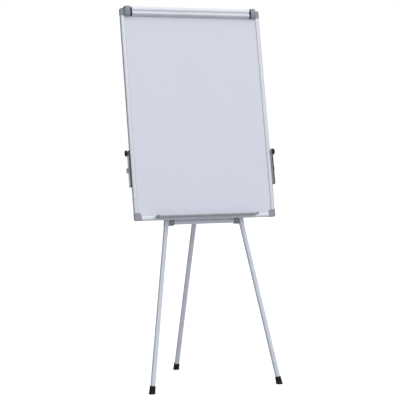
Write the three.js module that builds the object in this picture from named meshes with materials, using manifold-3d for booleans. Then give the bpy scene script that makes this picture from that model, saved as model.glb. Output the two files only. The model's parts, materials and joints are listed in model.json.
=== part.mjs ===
// Flipchart easel: a framed whiteboard leaning back on an A-shaped front stand with one rear leg.
// Millimetres, +Z up, floor at z = 0, the board faces -Y, the object is symmetric about x = 0.
import * as THREE from 'three';
import * as BufferGeometryUtils from 'three/addons/utils/BufferGeometryUtils.js';
import Module from 'manifold-3d';

const wasm = await Module();
wasm.setup();

// ---------------------------------------------------------------- driving dimensions
// Board coordinates: x across, v up the board's face from its bottom edge, n out of its front.
const BOARD_WIDTH = 700;
const BOARD_HEIGHT = 1000;
const BOARD_LEAN = THREE.MathUtils.degToRad(11.33);
const BOARD_BOTTOM_Z = 778;
const BOARD_BOTTOM_Y = -158.45;
const GAP = 0.3;

const RAIL_FACE = 20;
const RAIL_DEPTH = 18;
const RAIL_SLOT = 10;
const PANEL_FRONT = -3;
const SHEET_THICKNESS = 0.4;
const BACKING_THICKNESS = 0.4;
const PANEL_BACK = -15.1;
const CORNER_WIDTH = 33;
const CORNER_HEIGHT = 35;
const CORNER_PROUD = 0.8;
const CORNER_OUTER_RADIUS = 6;

const CLAMP_HALF = 305;
const CLAMP_BODY_X = 328;
const CLAMP_EAR_X = 333;
const COVER_HALF = 296;
const CLAMP_PIVOT_V = 1001;
const CLAMP_PIVOT_N = 8.9;
const CLAMP_BARREL_RADIUS = 4.2;
const CLAMP_BARREL_HALF = 292;
const CLAMP_ROD_RADIUS = 2.5;
const CLAMP_ROD_HALF = 315;
const PEG_X = 210;
const PEG_V = 991;
const PEG_TRAVEL = 50;

const TRAY_HALF = 243;
const TRAY_DEPTH = 42;
const TRAY_FLOOR_V = 10;
const TRAY_LIP_V = 16.8;
const TRAY_FLANGE_V = 21;
const TRAY_WALL = 1.5;

const ARM_INNER_X = 354.5;
const ARM_WIDTH = 6;
const ARM_DEPTH = 23.2;
const ARM_FRONT_N = 4.2;
const ARM_WALL = 1.2;
const ARM_BOTTOM_V = 160;
const ARM_TOP_V = 325;
const ARM_PIVOT_V = 313;
const ARM_PIVOT_N = -7;
const ARM_PEG_V = 233.5;
const ARM_PEG_N = -12.5;
const ARM_BOLT_RADIUS = 3;

const LEG_PLANE_N = -38.5;
const LEG_FOOT_X = 315;
const LEG_SPLAY = THREE.MathUtils.degToRad(9.42);
const UPPER_TUBE = 21.5;
const LOWER_TUBE = 18.5;
const TUBE_WALL = 1.2;
const UPPER_TUBE_BOTTOM_V = -26;
const UPPER_TUBE_TOP_V = 945;
const LOWER_TUBE_TOP_V = 170;
const FOOT_HEIGHT = 36;
const FOOT_TOP = 22.8;
const FOOT_BOTTOM = 26.6;
const FOOT_SOLE = 8;
const FOOT_CORNER = 0.2;

const CROSSBAR_V = -6;
const CROSSBAR_HEIGHT = 25;
const CROSSBAR_DEPTH = 14;
const CROSSBAR_HALF = 150;
const CONNECTOR_BOTTOM_V = -23;
const CONNECTOR_TOP_V = 9;
const LEG_LOCK_X = 161;
const RIVET_V = -8;
const HINGE_BAR_V = 178;
const HINGE_BAR_HEIGHT = 20;

const HUB_BOTTOM_V = 903;
const HUB_TOP_V = 958;
const HUB_HALF = 53;
const HUB_FRONT_N = -25.5;
const HUB_BACK_N = -51.5;

const REAR_PIVOT_V = 169.8;
const REAR_PIVOT_N = -68.5;
const REAR_FOOT_BEHIND = 433;
const REAR_SLEEVE_ABOVE = 12;
const REAR_SLEEVE_BELOW = 190;
const REAR_TUBE_BELOW = 62;
const REAR_LOCK_BELOW = 110;

// ---------------------------------------------------------------- placing helpers
const boardFrame = new THREE.Matrix4()
  .makeTranslation(0, BOARD_BOTTOM_Y, BOARD_BOTTOM_Z)
  .multiply(new THREE.Matrix4().makeRotationX(Math.PI / 2 - BOARD_LEAN));

const alongX = new THREE.Matrix4().makeBasis(
  new THREE.Vector3(0, 1, 0), new THREE.Vector3(0, 0, 1), new THREE.Vector3(1, 0, 0));
const alongV = new THREE.Matrix4().makeBasis(
  new THREE.Vector3(0, 0, 1), new THREE.Vector3(1, 0, 0), new THREE.Vector3(0, 1, 0));

function boardToWorld(x, v, n) {
  return new THREE.Vector3(x, v, n).applyMatrix4(boardFrame);
}

function frontLegFrame(side) {
  const footV = -(BOARD_BOTTOM_Z + LEG_PLANE_N * Math.sin(BOARD_LEAN)) / Math.cos(BOARD_LEAN);
  return boardFrame.clone()
    .multiply(new THREE.Matrix4().makeTranslation(side * LEG_FOOT_X, footV, LEG_PLANE_N))
    .multiply(new THREE.Matrix4().makeRotationZ(side * LEG_SPLAY));
}

// distance up a front leg's own axis, from the floor, of the board coordinate v
function legDistance(v) {
  const footV = -(BOARD_BOTTOM_Z + LEG_PLANE_N * Math.sin(BOARD_LEAN)) / Math.cos(BOARD_LEAN);
  return (v - footV) / Math.cos(LEG_SPLAY);
}

const rearPivot = boardToWorld(0, REAR_PIVOT_V, REAR_PIVOT_N);
const rearFootY = BOARD_BOTTOM_Y + REAR_FOOT_BEHIND;
const REAR_LEAN = Math.atan2(rearFootY - rearPivot.y, rearPivot.z);
const REAR_LENGTH = Math.hypot(rearFootY - rearPivot.y, rearPivot.z);
const rearFrame = new THREE.Matrix4()
  .makeTranslation(0, rearFootY, 0)
  .multiply(new THREE.Matrix4().makeRotationX(Math.PI / 2 + REAR_LEAN));

// ---------------------------------------------------------------- shape helpers
function shapeOf(points, holes = []) {
  const shape = new THREE.Shape(points.map(([a, b]) => new THREE.Vector2(a, b)));
  for (const hole of holes) {
    shape.holes.push(new THREE.Path(hole.map(([a, b]) => new THREE.Vector2(a, b))));
  }
  return shape;
}

function extrude(points, depth, holes = []) {
  return new THREE.ExtrudeGeometry(shapeOf(points, holes), { depth, bevelEnabled: false, steps: 1 });
}

// outline in (v, n), length from x0 to x1
function extrudeX(points, x0, x1, holes = []) {
  return extrude(points, x1 - x0, holes).applyMatrix4(alongX).translate(x0, 0, 0);
}

// outline in (x, v), thickness from n0 to n1
function extrudeN(points, n0, n1, holes = []) {
  return extrude(points, n1 - n0, holes).translate(0, 0, n0);
}

// outline in (n, x), length from v0 to v1
function extrudeV(points, v0, v1, holes = []) {
  return extrude(points, v1 - v0, holes).applyMatrix4(alongV).translate(0, v0, 0);
}

function block(x0, x1, v0, v1, n0, n1) {
  return new THREE.BoxGeometry(x1 - x0, v1 - v0, n1 - n0)
    .translate((x0 + x1) / 2, (v0 + v1) / 2, (n0 + n1) / 2);
}

function roundedRectangle(width, height, radius, steps = 3) {
  const points = [];
  const corners = [[1, 1, 0], [-1, 1, 1], [-1, -1, 2], [1, -1, 3]];
  for (const [sx, sy, quarter] of corners) {
    for (let i = 0; i <= steps; i++) {
      const angle = (quarter + i / steps) * Math.PI / 2;
      points.push([
        sx * (width / 2 - radius) + radius * Math.cos(angle),
        sy * (height / 2 - radius) + radius * Math.sin(angle),
      ]);
    }
  }
  return points;
}

function arc(centreA, centreB, radius, fromDegrees, toDegrees, steps) {
  const points = [];
  for (let i = 0; i <= steps; i++) {
    const angle = THREE.MathUtils.degToRad(fromDegrees + (toDegrees - fromDegrees) * i / steps);
    points.push([centreA + radius * Math.cos(angle), centreB + radius * Math.sin(angle)]);
  }
  return points;
}

function circle(centreA, centreB, radius, steps = 16) {
  return arc(centreA, centreB, radius, 0, 360, steps).slice(0, steps);
}

// a turned piece: profile of [radius, distance] about its own axis, which runs along +x, +v or +n
function turned(profile, direction, segments) {
  const geometry = new THREE.LatheGeometry(profile.map(([r, y]) => new THREE.Vector2(r, y)), segments);
  if (direction === 'x') {
    geometry.rotateZ(-Math.PI / 2);
  }
  if (direction === 'n') {
    geometry.rotateX(Math.PI / 2);
  }
  return geometry;
}

function rod(direction, radius, from, to, segments = 12) {
  return turned([[0, from], [radius, from], [radius, to], [0, to]], direction, segments);
}

function squareTube(size, wall, from, to) {
  const outer = roundedRectangle(size, size, 2);
  const inner = roundedRectangle(size - 2 * wall, size - 2 * wall, 1, 2);
  return extrudeV(outer, from, to, [inner]);
}

// ---------------------------------------------------------------- adding and cutting
function toManifold(geometry) {
  const bare = geometry.clone();
  bare.deleteAttribute('normal');
  bare.deleteAttribute('uv');
  const merged = BufferGeometryUtils.mergeVertices(bare, 1e-4);
  const vertProperties = new Float32Array(merged.attributes.position.array);
  const triVerts = new Uint32Array(merged.index.array);
  return new wasm.Manifold(new wasm.Mesh({ numProp: 3, vertProperties, triVerts }));
}

function fromManifold(solid) {
  const mesh = solid.getMesh();
  const geometry = new THREE.BufferGeometry();
  geometry.setAttribute('position', new THREE.BufferAttribute(new Float32Array(mesh.vertProperties), 3));
  geometry.setIndex(new THREE.BufferAttribute(new Uint32Array(mesh.triVerts), 1));
  return geometry;
}

function join(...geometries) {
  return fromManifold(geometries.map(toManifold).reduce((sum, next) => sum.add(next)));
}

function cut(geometry, ...tools) {
  const solid = tools.map(toManifold).reduce((rest, tool) => rest.subtract(tool), toManifold(geometry));
  return fromManifold(solid);
}

// ---------------------------------------------------------------- assembly
const easel = new THREE.Group();
easel.name = 'flipchart_easel';

const finishes = {
  aluminium: { color: 0xdcdfe4, roughness: 0.38, metalness: 0.75 },
  paint: { color: 0xc9cfd6, roughness: 0.45, metalness: 0.25 },
  steel: { color: 0xb9bcc0, roughness: 0.3, metalness: 0.9 },
  board: { color: 0xeceef7, roughness: 0.18, metalness: 0.0 },
  core: { color: 0xb79c78, roughness: 0.85, metalness: 0.0 },
  backing: { color: 0xb4b8bc, roughness: 0.5, metalness: 0.6 },
  greyPlastic: { color: 0x9a9ba1, roughness: 0.5, metalness: 0.0 },
  darkPlastic: { color: 0x787e8a, roughness: 0.5, metalness: 0.0 },
  blackPlastic: { color: 0x1b1c1e, roughness: 0.45, metalness: 0.0 },
  rubber: { color: 0x141615, roughness: 0.8, metalness: 0.0 },
};

function addPiece(name, geometry, matrix, finish) {
  const placed = (geometry.index ? geometry.toNonIndexed() : geometry.clone()).applyMatrix4(matrix);
  placed.computeVertexNormals();
  const mesh = new THREE.Mesh(placed, new THREE.MeshStandardMaterial(finishes[finish]));
  mesh.name = name;
  easel.add(mesh);
}

// the same piece on the other side of x = 0, with its faces turned to point out again
function mirrored(geometry) {
  const twin = (geometry.index ? geometry.toNonIndexed() : geometry.clone()).scale(-1, 1, 1);
  const position = twin.attributes.position;
  const second = new THREE.Vector3();
  const third = new THREE.Vector3();
  for (let i = 0; i < position.count; i += 3) {
    second.fromBufferAttribute(position, i + 1);
    third.fromBufferAttribute(position, i + 2);
    position.setXYZ(i + 1, third.x, third.y, third.z);
    position.setXYZ(i + 2, second.x, second.y, second.z);
  }
  return twin;
}

// the geometry is drawn for the right side
function addPair(name, geometry, matrix, finish) {
  const placed = geometry.clone().applyMatrix4(matrix);
  const unmoved = new THREE.Matrix4();
  addPiece(`${name}_right`, placed, unmoved, finish);
  addPiece(`${name}_left`, mirrored(placed), unmoved, finish);
}

// ---------------------------------------------------------------- the writing panel
const panelHalf = BOARD_WIDTH / 2 - RAIL_SLOT - GAP;
const panelBottom = RAIL_SLOT + GAP;
const panelTop = BOARD_HEIGHT - RAIL_SLOT - GAP;
const sheetBack = PANEL_FRONT - SHEET_THICKNESS;
const backingFront = PANEL_BACK + BACKING_THICKNESS;
addPiece('board_sheet',
  block(-panelHalf, panelHalf, panelBottom, panelTop, sheetBack, PANEL_FRONT), boardFrame, 'board');
addPiece('board_core',
  block(-panelHalf, panelHalf, panelBottom, panelTop, backingFront + GAP, sheetBack - GAP),
  boardFrame, 'core');
addPiece('board_backing',
  block(-panelHalf, panelHalf, panelBottom, panelTop, PANEL_BACK, backingFront), boardFrame, 'backing');

// ---------------------------------------------------------------- frame rails
// Section of a rail: distance in from the outer edge, and n. The slot takes the panel's edge.
const slotFront = PANEL_FRONT + GAP;
const slotBack = PANEL_BACK - GAP;
const BACK_LIP = 14;
const CHAMBER_OUT = 1.8;
const CHAMBER_IN = 8.5;
const CHAMBER_FRONT = -2.5;
const CHAMBER_BACK = -15.7;
const railSection = [
  [0, 2 - RAIL_DEPTH], [0, -2.2], [0.9, -0.9], [3, -0.25], [10, 0], [17, -0.35], [19.4, -1.1],
  [RAIL_FACE, slotFront], [RAIL_SLOT, slotFront], [RAIL_SLOT, slotBack], [BACK_LIP, slotBack],
  [BACK_LIP, -RAIL_DEPTH], [2, -RAIL_DEPTH],
];
const chamber = [
  [CHAMBER_OUT, CHAMBER_BACK], [CHAMBER_IN, CHAMBER_BACK],
  [CHAMBER_IN, CHAMBER_FRONT], [CHAMBER_OUT, CHAMBER_FRONT],
];
const boardHalf = BOARD_WIDTH / 2;
const railEndX = boardHalf - CORNER_WIDTH - GAP;

const inFromRight = (points) => points.map(([a, n]) => [n, boardHalf - a]);
const railBottomV = CORNER_HEIGHT + GAP;
const railTopV = BOARD_HEIGHT - CORNER_HEIGHT - GAP;
const sideRail = extrudeV(inFromRight(railSection), railBottomV, railTopV, [inFromRight(chamber)]);
const armBoltHole = rod('x', ARM_BOLT_RADIUS + GAP, boardHalf - CHAMBER_OUT - 1, boardHalf + 1)
  .translate(0, ARM_PIVOT_V, ARM_PIVOT_N);
addPair('rail', cut(sideRail, armBoltHole), boardFrame, 'aluminium');

const downFromTop = (points) => points.map(([a, n]) => [BOARD_HEIGHT - a, n]);
addPiece('rail_top',
  extrudeX(downFromTop(railSection), -railEndX, railEndX, [downFromTop(chamber)]), boardFrame, 'aluminium');

addPiece('rail_bottom', extrudeX(railSection, -railEndX, railEndX, [chamber]), boardFrame, 'aluminium');

// ---------------------------------------------------------------- corner caps
// Outline with a round outer corner and a quarter round towards the board, thick enough to wrap
// the frame, with a pocket for the panel's corner.
function cornerCap(atTop) {
  const roundWidth = CORNER_WIDTH - RAIL_FACE;
  const roundHeight = CORNER_HEIGHT - RAIL_FACE;
  const quarterRound = arc(0, 0, 1, 90, 180, 5)
    .map(([a, b]) => [boardHalf - RAIL_FACE + a * roundWidth, RAIL_FACE + b * roundHeight]);
  const place = ([x, v]) => [x, atTop ? BOARD_HEIGHT - v : v];
  const outline = [
    ...arc(boardHalf - CORNER_OUTER_RADIUS, CORNER_OUTER_RADIUS, CORNER_OUTER_RADIUS, -90, 0, 5),
    [boardHalf, CORNER_HEIGHT],
    ...quarterRound,
    [boardHalf - CORNER_WIDTH, 0],
  ].map(place);
  const [, nearV] = place([0, RAIL_SLOT]);
  const [, farV] = place([0, 2 * CORNER_HEIGHT]);
  const pocket = block(
    boardHalf - 2 * CORNER_WIDTH, boardHalf - RAIL_SLOT, Math.min(nearV, farV), Math.max(nearV, farV),
    slotBack, slotFront);
  return cut(extrudeN(outline, -RAIL_DEPTH - CORNER_PROUD, CORNER_PROUD), pocket);
}
addPair('corner_bottom', cornerCap(false), boardFrame, 'greyPlastic');
addPair('corner_top', cornerCap(true), boardFrame, 'greyPlastic');

// ---------------------------------------------------------------- paper clamp
// Fixed rail over the frame's top edge. Its front flange stands off the frame, so that the heads
// of the pad pegs run behind it, and is slotted for their necks.
const BASE_WALL = 1.8;
const FLANGE_BACK = 2.6;
const FLANGE_BOTTOM_V = 982;
const FLANGE_REAR_N = -17;
const flangeFront = FLANGE_BACK + BASE_WALL;
const baseBottom = BOARD_HEIGHT + GAP;
const baseTop = baseBottom + BASE_WALL;
const clampEndX = CLAMP_HALF - GAP;
const baseSection = [
  [baseBottom, FLANGE_REAR_N], [baseTop, FLANGE_REAR_N], [baseTop, flangeFront],
  [FLANGE_BOTTOM_V, flangeFront], [FLANGE_BOTTOM_V, GAP], [FLANGE_BOTTOM_V + BASE_WALL, GAP],
  [FLANGE_BOTTOM_V + BASE_WALL, FLANGE_BACK], [baseBottom, FLANGE_BACK],
];
const PEG_NECK = 2.6;
const slotHalfLength = PEG_TRAVEL + PEG_NECK + 1;
const pegSlot = (sign) => block(
  sign * PEG_X - slotHalfLength, sign * PEG_X + slotHalfLength,
  PEG_V - PEG_NECK - GAP, PEG_V + PEG_NECK + GAP, 1, flangeFront + 2);
addPiece('clamp_base',
  cut(extrudeX(baseSection, -clampEndX, clampEndX), pegSlot(-1), pegSlot(1)), boardFrame, 'aluminium');

// Hinged cover: a barrel on the rod, a grooved front and a lip that presses the pad on to the board.
const COVER_WALL = 1.6;
const GROOVE_DEPTH = 2;
const coverOut = CLAMP_PIVOT_N + CLAMP_BARREL_RADIUS;
const coverIn = coverOut - COVER_WALL;
const coverSection = [
  ...arc(CLAMP_PIVOT_N, CLAMP_PIVOT_V, CLAMP_BARREL_RADIUS, 0, 306, 14),
  [coverIn, 997.2], [coverIn, 988.4], [coverIn - GROOVE_DEPTH, 987], [coverIn - GROOVE_DEPTH, 977.6],
  [coverIn, 976.2], [coverIn, 971.4], [9.4, 967], [5.5, 964.6], [0, 964.1], [-2.4, 964.6],
  [-2.4, 962.6], [0, 962.2], [6.2, 962.7], [10.4, 965.2], [coverOut, 970.6], [coverOut, 976.8],
  [coverOut - GROOVE_DEPTH, 978.4], [coverOut - GROOVE_DEPTH, 986.4], [coverOut, 988],
].map(([n, v]) => [v, n]);
const rodBore = circle(CLAMP_PIVOT_V, CLAMP_PIVOT_N, CLAMP_ROD_RADIUS + GAP, 14);
const cover = extrudeX(coverSection, -COVER_HALF, COVER_HALF, [rodBore]);
const SPRING_ROOM = CLAMP_BARREL_RADIUS + GAP;
const SPRING_ROOM_LENGTH = 15;
const springRoom = block(
  CLAMP_BARREL_HALF, CLAMP_BARREL_HALF + SPRING_ROOM_LENGTH,
  CLAMP_PIVOT_V - SPRING_ROOM, CLAMP_PIVOT_V + SPRING_ROOM,
  CLAMP_PIVOT_N - SPRING_ROOM, CLAMP_PIVOT_N + SPRING_ROOM);
addPiece('clamp_cover', cut(cover, springRoom, mirrored(springRoom)), boardFrame, 'aluminium');

// Plastic plugs close the cover's two ends below the barrel.
const plugSection = [
  [996.2, 5.2], [996.2, coverOut], [970.6, coverOut], [965.2, 10.4], [962.7, 6.2], [962.2, 0],
  [962.6, -2.4], [964.6, -2.4], [964.1, 0], [964.6, 5.2],
].reverse();
addPair('cover_plug', extrudeX(plugSection, COVER_HALF + GAP, clampEndX), boardFrame, 'blackPlastic');

addPiece('clamp_rod',
  rod('x', CLAMP_ROD_RADIUS, -CLAMP_ROD_HALF, CLAMP_ROD_HALF).translate(0, CLAMP_PIVOT_V, CLAMP_PIVOT_N),
  boardFrame, 'steel');

// Plastic end brackets reach over the top rail and its corner caps, and carry the ends of the rod.
const endOutside = [
  [961, 5], [964, 10.5], [969, 13.4], [1004, 13.4], [1008, 11.5], [1009.6, 7], [1009.6, -22],
  [1007.6, -26], [976, -26],
];
const endOnRail = [
  [961, -2.4], ...endOutside, [976, -RAIL_DEPTH - GAP], [baseBottom, -RAIL_DEPTH - GAP],
  [baseBottom, GAP], [979, GAP], [979, -2.4],
];
const capFront = CORNER_PROUD + GAP;
const capBack = -RAIL_DEPTH - CORNER_PROUD - GAP;
const endOverCap = [
  [961, capFront], ...endOutside, [976, capBack], [baseBottom, capBack], [baseBottom, capFront],
];
const earSection = [
  [963, capFront], [963, 4.5], [966.5, 8], [993, 8], [998.5, 4.5], [998.5, capFront],
];
const capInnerX = boardHalf - CORNER_WIDTH - GAP;
const clampEnd = join(
  extrudeX(endOnRail, CLAMP_HALF, capInnerX),
  extrudeX(endOverCap, capInnerX - 1, CLAMP_BODY_X),
  extrudeX(earSection, CLAMP_BODY_X - 1, CLAMP_EAR_X));
const endBore = rod('x', CLAMP_ROD_RADIUS + GAP, 0, CLAMP_ROD_HALF + GAP, 14)
  .translate(0, CLAMP_PIVOT_V, CLAMP_PIVOT_N);
addPair('clamp_end', cut(clampEnd, endBore), boardFrame, 'darkPlastic');

// Torsion springs round the rod, between the barrel and the end brackets.
const SPRING_TURNS = 6;
const SPRING_WIRE = 0.9;
const SPRING_RADIUS = CLAMP_ROD_RADIUS + GAP + SPRING_WIRE / 2 + 0.15;
const SPRING_LENGTH = 10.4;
const SPRING_STEPS_A_TURN = 10;
class SpringPath extends THREE.Curve {
  getPoint(t, target = new THREE.Vector3()) {
    const angle = t * SPRING_TURNS * 2 * Math.PI;
    return target.set(t * SPRING_LENGTH, SPRING_RADIUS * Math.cos(angle), SPRING_RADIUS * Math.sin(angle));
  }
}
const springWire = new THREE.ExtrudeGeometry(
  shapeOf(circle(0, 0, SPRING_WIRE / 2, 5)),
  { extrudePath: new SpringPath(), steps: SPRING_TURNS * SPRING_STEPS_A_TURN, bevelEnabled: false });
addPair('clamp_spring',
  springWire.translate(CLAMP_BARREL_HALF + 1, CLAMP_PIVOT_V, CLAMP_PIVOT_N), boardFrame, 'steel');

// Pad pegs: a flat head behind the flange, a neck in its slot, a collar and the peg itself.
const pegProfile = [
  [0, 0.6], [5.5, 0.6], [5.5, 2.3], [PEG_NECK, 2.3], [PEG_NECK, 4.7], [5, 4.7], [5, 7.4],
  [2.5, 7.4], [2.5, 10.2], [1.8, 10.9], [0, 10.9],
];
addPair('pad_peg', turned(pegProfile, 'n', 16).translate(PEG_X, PEG_V, 0), boardFrame, 'blackPlastic');

// ---------------------------------------------------------------- pen tray
const traySection = [
  [TRAY_FLOOR_V, GAP], [TRAY_FLANGE_V, GAP], [TRAY_FLANGE_V, GAP + TRAY_WALL],
  [TRAY_FLOOR_V + 3.5, GAP + TRAY_WALL], [TRAY_FLOOR_V + TRAY_WALL, GAP + 4],
  [TRAY_FLOOR_V + TRAY_WALL, TRAY_DEPTH - 5], [TRAY_FLOOR_V + 3.2, TRAY_DEPTH - TRAY_WALL],
  [TRAY_LIP_V - 1, TRAY_DEPTH - TRAY_WALL], [TRAY_LIP_V, TRAY_DEPTH - 2.4], [TRAY_LIP_V, TRAY_DEPTH],
  [TRAY_FLOOR_V + 2, TRAY_DEPTH], [TRAY_FLOOR_V, TRAY_DEPTH - 3],
];
addPiece('pen_tray',
  extrudeX(traySection, -TRAY_HALF, TRAY_HALF), boardFrame, 'greyPlastic');

const TRAY_CAP_WIDTH = 3.6;
const trayCapSection = [
  [TRAY_FLOOR_V - 1, GAP], [TRAY_FLANGE_V + 1, GAP], [TRAY_FLANGE_V + 1, 5], [TRAY_LIP_V + 3.4, 12],
  [TRAY_LIP_V + 3.4, TRAY_DEPTH - 3], [TRAY_LIP_V + 1.6, TRAY_DEPTH + 1], [TRAY_FLOOR_V + 2, TRAY_DEPTH + 1],
  [TRAY_FLOOR_V - 1, TRAY_DEPTH - 3],
];
addPair('tray_cap',
  extrudeX(trayCapSection, TRAY_HALF + GAP, TRAY_HALF + GAP + TRAY_CAP_WIDTH), boardFrame, 'greyPlastic');

// ---------------------------------------------------------------- side arms
// Each arm is a channel, open to the front, that hangs beside the frame from a shoulder bolt and
// is clamped by a knob. It carries a boss on its outer face, a strip that fills and covers its mouth,
// and a plug below.
const armOuter = ARM_INNER_X + ARM_WIDTH;
const cavityIn = ARM_INNER_X + ARM_WALL;
const cavityOut = armOuter - ARM_WALL;
const armBack = ARM_FRONT_N - ARM_DEPTH;
const cavityBack = armBack + ARM_WALL;
const channelSection = [
  [armBack, ARM_INNER_X], [armBack, armOuter], [ARM_FRONT_N, armOuter], [ARM_FRONT_N, cavityOut],
  [cavityBack, cavityOut], [cavityBack, cavityIn], [ARM_FRONT_N, cavityIn], [ARM_FRONT_N, ARM_INNER_X],
].reverse();
const ARM_PEG_SHANK = 1.8;
const pivotHole = rod('x', ARM_BOLT_RADIUS + GAP, ARM_INNER_X - 2, armOuter + 2)
  .translate(0, ARM_PIVOT_V, ARM_PIVOT_N);
const armPegHole = rod('x', ARM_PEG_SHANK + GAP, cavityOut - 1, armOuter + 1)
  .translate(0, ARM_PEG_V, ARM_PEG_N);
const channel = extrudeV(channelSection, ARM_BOTTOM_V, ARM_TOP_V);
addPair('arm_channel', cut(channel, pivotHole, armPegHole), boardFrame, 'aluminium');

const STRIP_CAP = 1.4;
const insertIn = cavityIn + GAP;
const insertOut = cavityOut - GAP;
const stripBack = cavityBack + GAP;
const stripLedge = ARM_FRONT_N + GAP;
const stripFront = stripLedge + STRIP_CAP;
const TIP_PLUG = 25;
const tipPlugTop = ARM_BOTTOM_V + TIP_PLUG;
const stripSection = [
  [stripBack, insertIn], [stripLedge, insertIn], [stripLedge, ARM_INNER_X], [stripFront, ARM_INNER_X],
  [stripFront, armOuter], [stripLedge, armOuter], [stripLedge, insertOut], [stripBack, insertOut],
];
const strip = extrudeV(stripSection, tipPlugTop + GAP, ARM_TOP_V);
addPair('arm_strip', cut(strip, pivotHole, armPegHole), boardFrame, 'blackPlastic');

const TIP_CAP = 3.2;
const tipTopV = ARM_BOTTOM_V - GAP;
const tipOutline = [
  [ARM_INNER_X, tipTopV - TIP_CAP], [armOuter, tipTopV - TIP_CAP], [armOuter, tipTopV],
  [insertOut, tipTopV], [insertOut, tipPlugTop], [insertIn, tipPlugTop],
  [insertIn, tipTopV], [ARM_INNER_X, tipTopV],
];
const TIP_PROUD = 0.6;
const tipFront = stripFront + TIP_PROUD;
const tipFace = block(ARM_INNER_X, armOuter, tipTopV - TIP_CAP, tipPlugTop, stripLedge, tipFront);
addPair('arm_tip', join(extrudeN(tipOutline, stripBack, tipFront), tipFace), boardFrame, 'blackPlastic');

const ARM_PEG_LENGTH = 8;
const pegBoss = extrude(roundedRectangle(9, 23, 4, 3), ARM_PEG_LENGTH)
  .rotateY(Math.PI / 2).translate(armOuter + GAP, ARM_PEG_V, ARM_PEG_N);
const pegStub = rod('x', ARM_PEG_SHANK, cavityOut - 0.4, armOuter + 2).translate(0, ARM_PEG_V, ARM_PEG_N);
addPair('arm_peg', join(pegBoss, pegStub), boardFrame, 'greyPlastic');

const BOLT_COLLAR = 6.5;
const BOLT_END_X = 368.5;
const armBoltProfile = [
  [0, boardHalf - 6], [ARM_BOLT_RADIUS, boardHalf - 6], [ARM_BOLT_RADIUS, boardHalf + GAP],
  [BOLT_COLLAR, boardHalf + GAP], [BOLT_COLLAR, ARM_INNER_X - GAP], [ARM_BOLT_RADIUS, ARM_INNER_X - GAP],
  [ARM_BOLT_RADIUS, BOLT_END_X], [0, BOLT_END_X],
];
addPair('arm_bolt',
  turned(armBoltProfile, 'x', 14).translate(0, ARM_PIVOT_V, ARM_PIVOT_N), boardFrame, 'steel');

const knobStart = armOuter + GAP;
const knobBore = ARM_BOLT_RADIUS + GAP;
const knobProfile = [
  [0, BOLT_END_X + 0.6], [knobBore, BOLT_END_X + 0.6], [knobBore, knobStart], [6.4, knobStart],
  [6.8, 363.6], [9.5, 365.2], [14.2, 366.2], [14.9, 367.8], [14.9, 369.6], [13.6, 371.6], [10, 372.9],
  [5.5, 373.5], [0, 373.6],
];
const armKnob = turned(knobProfile, 'x', 20);
addPair('arm_knob', armKnob.translate(0, ARM_PIVOT_V, ARM_PIVOT_N), boardFrame, 'blackPlastic');

// ---------------------------------------------------------------- front legs
// Leg coordinates: x across, y up the leg's own axis from the floor, z out of its front.
const rightLeg = frontLegFrame(1);
const upperFrom = legDistance(UPPER_TUBE_BOTTOM_V);
const upperTo = legDistance(UPPER_TUBE_TOP_V);
const lowerTo = legDistance(LOWER_TUBE_TOP_V);
addPair('upper_leg', squareTube(UPPER_TUBE, TUBE_WALL, upperFrom, upperTo), rightLeg, 'paint');
addPair('lower_leg', squareTube(LOWER_TUBE, TUBE_WALL, FOOT_SOLE + GAP, lowerTo), rightLeg, 'paint');

// A foot is a flared cap with rounded corners on the tube's end, cut level with the floor.
const FLOOR_SIZE = 4000;
const FLOOR_DEPTH = 100;
const FOOT_BELOW_FLOOR = 8;
const FOOT_POCKET_RADIUS = 2;
const belowFloor = new THREE.BoxGeometry(FLOOR_SIZE, FLOOR_SIZE, FLOOR_DEPTH)
  .translate(0, 0, -FLOOR_DEPTH / 2);
function foot(frame) {
  const flare = extrudeV(roundedRectangle(1, 1, FOOT_CORNER, 4), -FOOT_BELOW_FLOOR, FOOT_HEIGHT);
  const position = flare.attributes.position;
  for (let i = 0; i < position.count; i++) {
    const size = position.getY(i) > 0 ? FOOT_TOP : FOOT_BOTTOM;
    position.setXYZ(i, position.getX(i) * size, position.getY(i), position.getZ(i) * size);
  }
  const pocketSize = LOWER_TUBE + 2 * GAP;
  const pocketOutline = roundedRectangle(pocketSize, pocketSize, FOOT_POCKET_RADIUS);
  const pocket = extrudeV(pocketOutline, FOOT_SOLE, FOOT_HEIGHT + 1);
  return cut(flare.applyMatrix4(frame), pocket.applyMatrix4(frame), belowFloor);
}
addPair('foot', foot(rightLeg), new THREE.Matrix4(), 'rubber');

// ---------------------------------------------------------------- crossbar and leg connectors
function flatTube(v, height, halfLength) {
  const place = ([a, b]) => [v + a, LEG_PLANE_N + b];
  const outer = roundedRectangle(height, CROSSBAR_DEPTH, 2.5).map(place);
  const bore = roundedRectangle(height - 2 * TUBE_WALL, CROSSBAR_DEPTH - 2 * TUBE_WALL, 1.3, 2).map(place);
  return extrudeX(outer, -halfLength, halfLength, [bore]);
}
addPiece('crossbar', flatTube(CROSSBAR_V, CROSSBAR_HEIGHT, CROSSBAR_HALF), boardFrame, 'paint');

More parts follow.
